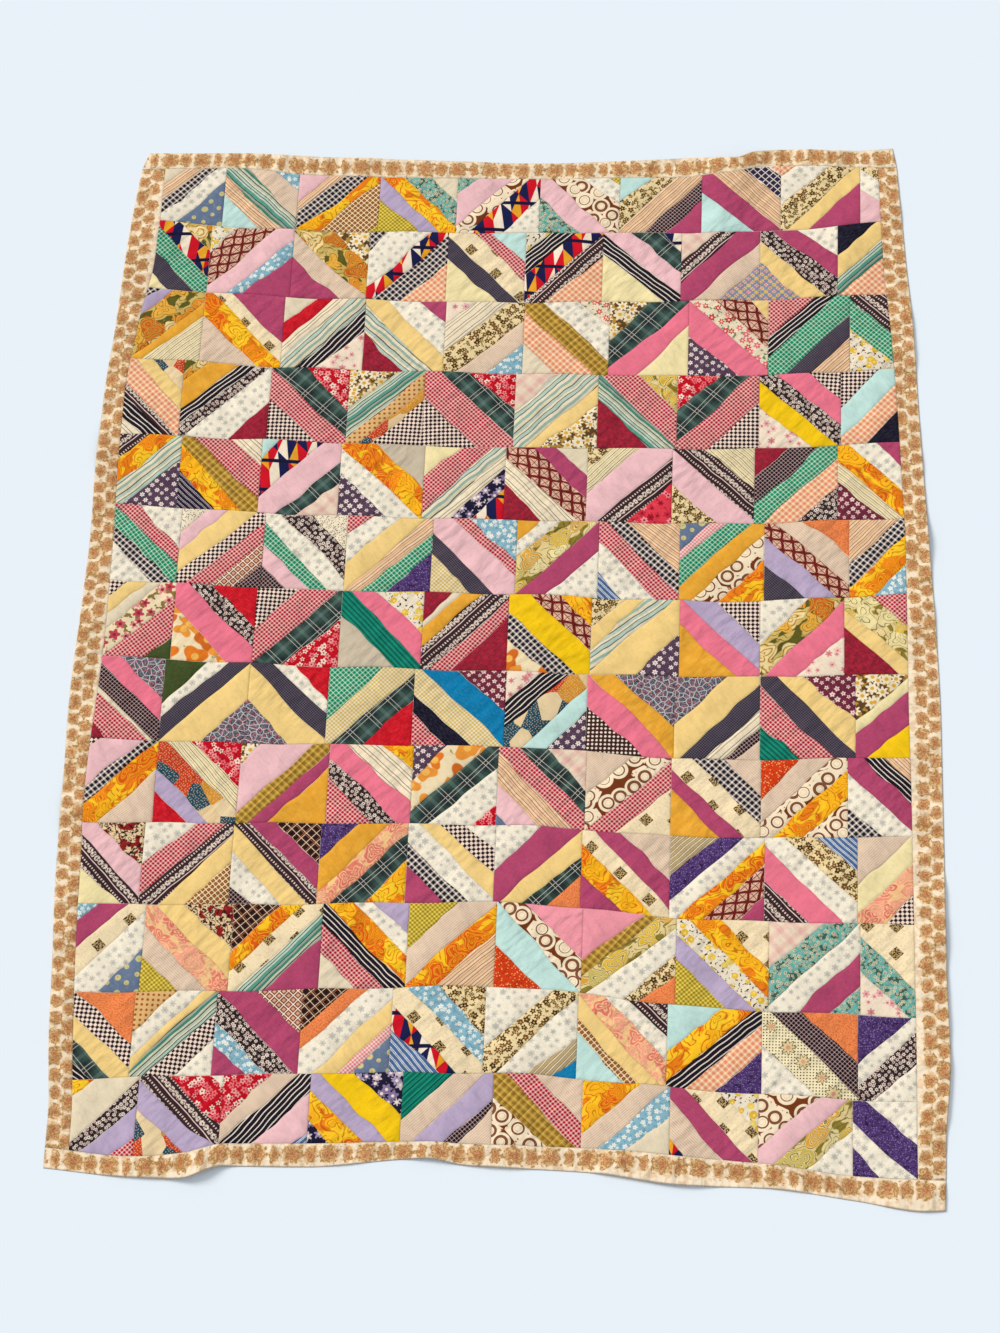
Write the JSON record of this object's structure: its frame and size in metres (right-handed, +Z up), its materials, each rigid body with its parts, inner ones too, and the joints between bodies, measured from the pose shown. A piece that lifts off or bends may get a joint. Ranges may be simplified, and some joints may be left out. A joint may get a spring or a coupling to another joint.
{
  "type": "patchwork quilt",
  "caption": "Bed-sized string-pieced patchwork quilt laid flat, with a slightly wavy outline and a floral print border.",
  "frame": {"origin": "on the surface that the quilt lies on, under the middle of its outline", "axes": "+Y runs from the foot of the quilt to its head, +X to the right seen from above, +Z up"},
  "size_m": [1.7606, 2.344, 0.0137],
  "materials": {
    "patchwork_cotton": "matt printed and plain cottons, pieced in diagonal strips",
    "border_cotton": "matt cream cotton with an orange-brown rose print"
  },
  "bodies": {
    "root": {"pieced_top": "patchwork_cotton", "border_top": "border_cotton", "border_bottom": "border_cotton", "border_left": "border_cotton", "border_right": "border_cotton"}
  },
  "joints": []
}
